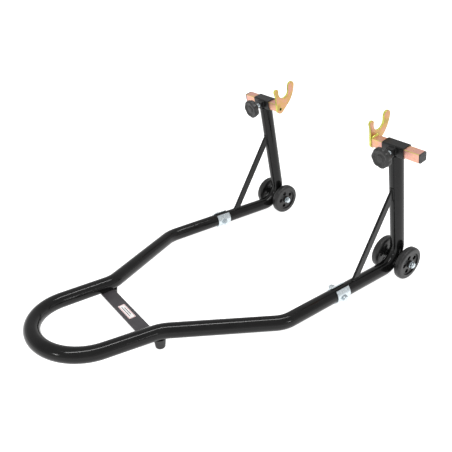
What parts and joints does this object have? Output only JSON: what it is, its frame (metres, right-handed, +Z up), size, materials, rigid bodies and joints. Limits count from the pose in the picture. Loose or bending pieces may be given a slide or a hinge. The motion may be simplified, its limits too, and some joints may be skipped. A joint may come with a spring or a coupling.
{
  "type": "paddock stand",
  "caption": "Rear paddock stand with a bent tube frame and handle loop, wheels beside each upright, and clamped sliding bars that carry spool hooks.",
  "frame": {"origin": "on the floor, in the middle of the stand's bounding box", "axes": "+X from the handle loop to the wheels, +Z up, right side at -Y"},
  "size_m": [0.845, 0.546, 0.384],
  "materials": {
    "gloss_black": "gloss powder coat",
    "satin_black": "satin powder coat",
    "charcoal_plate": "satin powder coat",
    "bright_zinc": "bright zinc plating",
    "yellow_zinc": "yellow passivated zinc plating",
    "plain_steel": "mill finish",
    "black_plastic": "fine moulded texture",
    "hub_plastic": "fine moulded texture",
    "tyre_rubber": "matt",
    "foot_rubber": "matt"
  },
  "bodies": {
    "frame": {"front_frame_tube": "gloss_black", "cross_plate": "charcoal_plate", "foot_screws": "bright_zinc", "foot_right": "foot_rubber", "side_frame_tube_right": "gloss_black", "strut_right": "gloss_black", "joint_spigot_right": "plain_steel", "joint_bolt_right": "bright_zinc", "joint_nut_right": "bright_zinc", "axle_bush_right": "gloss_black", "axle_right": "bright_zinc", "axle_nuts_right": "bright_zinc", "axle_washers_right": "bright_zinc", "top_sleeve_right": "satin_black", "clamp_boss_right": "satin_black", "joint_washers_right": "bright_zinc", "saddle_outer_right": "bright_zinc", "saddle_inner_right": "bright_zinc", "foot_left": "foot_rubber", "side_frame_tube_left": "gloss_black", "strut_left": "gloss_black", "joint_spigot_left": "plain_steel", "joint_bolt_left": "bright_zinc", "joint_nut_left": "bright_zinc", "axle_bush_left": "gloss_black", "axle_left": "bright_zinc", "axle_nuts_left": "bright_zinc", "axle_washers_left": "bright_zinc", "top_sleeve_left": "satin_black", "clamp_boss_left": "satin_black", "joint_washers_left": "bright_zinc", "saddle_outer_left": "bright_zinc", "saddle_inner_left": "bright_zinc"},
    "wheel_outer_right": {"tyre_outer_right": "tyre_rubber", "hub_outer_right": "hub_plastic"},
    "wheel_inner_right": {"tyre_inner_right": "tyre_rubber", "hub_inner_right": "hub_plastic"},
    "hook_bar_right": {"lift_bar_right": "yellow_zinc", "bar_cap_right": "black_plastic", "hook_right": "yellow_zinc"},
    "clamp_screw_right": {"clamp_stud_right": "bright_zinc"},
    "clamp_handle_right": {"clamp_knob_right": "black_plastic"},
    "wheel_outer_left": {"tyre_outer_left": "tyre_rubber", "hub_outer_left": "hub_plastic"},
    "wheel_inner_left": {"tyre_inner_left": "tyre_rubber", "hub_inner_left": "hub_plastic"},
    "hook_bar_left": {"lift_bar_left": "yellow_zinc", "bar_cap_left": "black_plastic", "hook_left": "yellow_zinc"},
    "clamp_screw_left": {"clamp_stud_left": "bright_zinc"},
    "clamp_handle_left": {"clamp_knob_left": "black_plastic"}
  },
  "joints": [
    {"name": "wheel_spin_outer_right", "type": "hinge", "parent": "frame", "child": "wheel_outer_right", "pos_m": [0.3825, -0.2483, 0.04], "axis": [0, 1, 0], "continuous": true},
    {"name": "wheel_spin_inner_right", "type": "hinge", "parent": "frame", "child": "wheel_inner_right", "pos_m": [0.3825, -0.1783, 0.04], "axis": [0, 1, 0], "continuous": true},
    {"name": "bar_slide_right", "type": "slide", "parent": "frame", "child": "hook_bar_right", "axis": [0, -1, 0], "range_m": [-0.036, 0.024]},
    {"name": "clamp_advance_right", "type": "slide", "parent": "frame", "child": "clamp_screw_right", "axis": [-0.9731, 0, -0.2303], "range_m": [0, 0.0045]},
    {"name": "clamp_turn_right", "type": "hinge", "parent": "clamp_screw_right", "child": "clamp_handle_right", "pos_m": [0.27771, -0.2075, 0.31364], "axis": [-0.9731, 0, -0.2303], "range_deg": [0, 1080]},
    {"name": "wheel_spin_outer_left", "type": "hinge", "parent": "frame", "child": "wheel_outer_left", "pos_m": [0.3825, 0.2483, 0.04], "axis": [0, 1, 0], "continuous": true},
    {"name": "wheel_spin_inner_left", "type": "hinge", "parent": "frame", "child": "wheel_inner_left", "pos_m": [0.3825, 0.1783, 0.04], "axis": [0, 1, 0], "continuous": true},
    {"name": "bar_slide_left", "type": "slide", "parent": "frame", "child": "hook_bar_left", "axis": [0, 1, 0], "range_m": [-0.036, 0.024]},
    {"name": "clamp_advance_left", "type": "slide", "parent": "frame", "child": "clamp_screw_left", "axis": [-0.9731, 0, -0.2303], "range_m": [0, 0.0045]},
    {"name": "clamp_turn_left", "type": "hinge", "parent": "clamp_screw_left", "child": "clamp_handle_left", "pos_m": [0.27771, 0.2075, 0.31364], "axis": [-0.9731, 0, -0.2303], "range_deg": [0, 1080]}
  ],
  "couplings": [
    {"joint": "clamp_turn_right", "follows": "clamp_advance_right", "rad_per_m": 4188.8},
    {"joint": "clamp_turn_left", "follows": "clamp_advance_left", "rad_per_m": 4188.8}
  ]
}
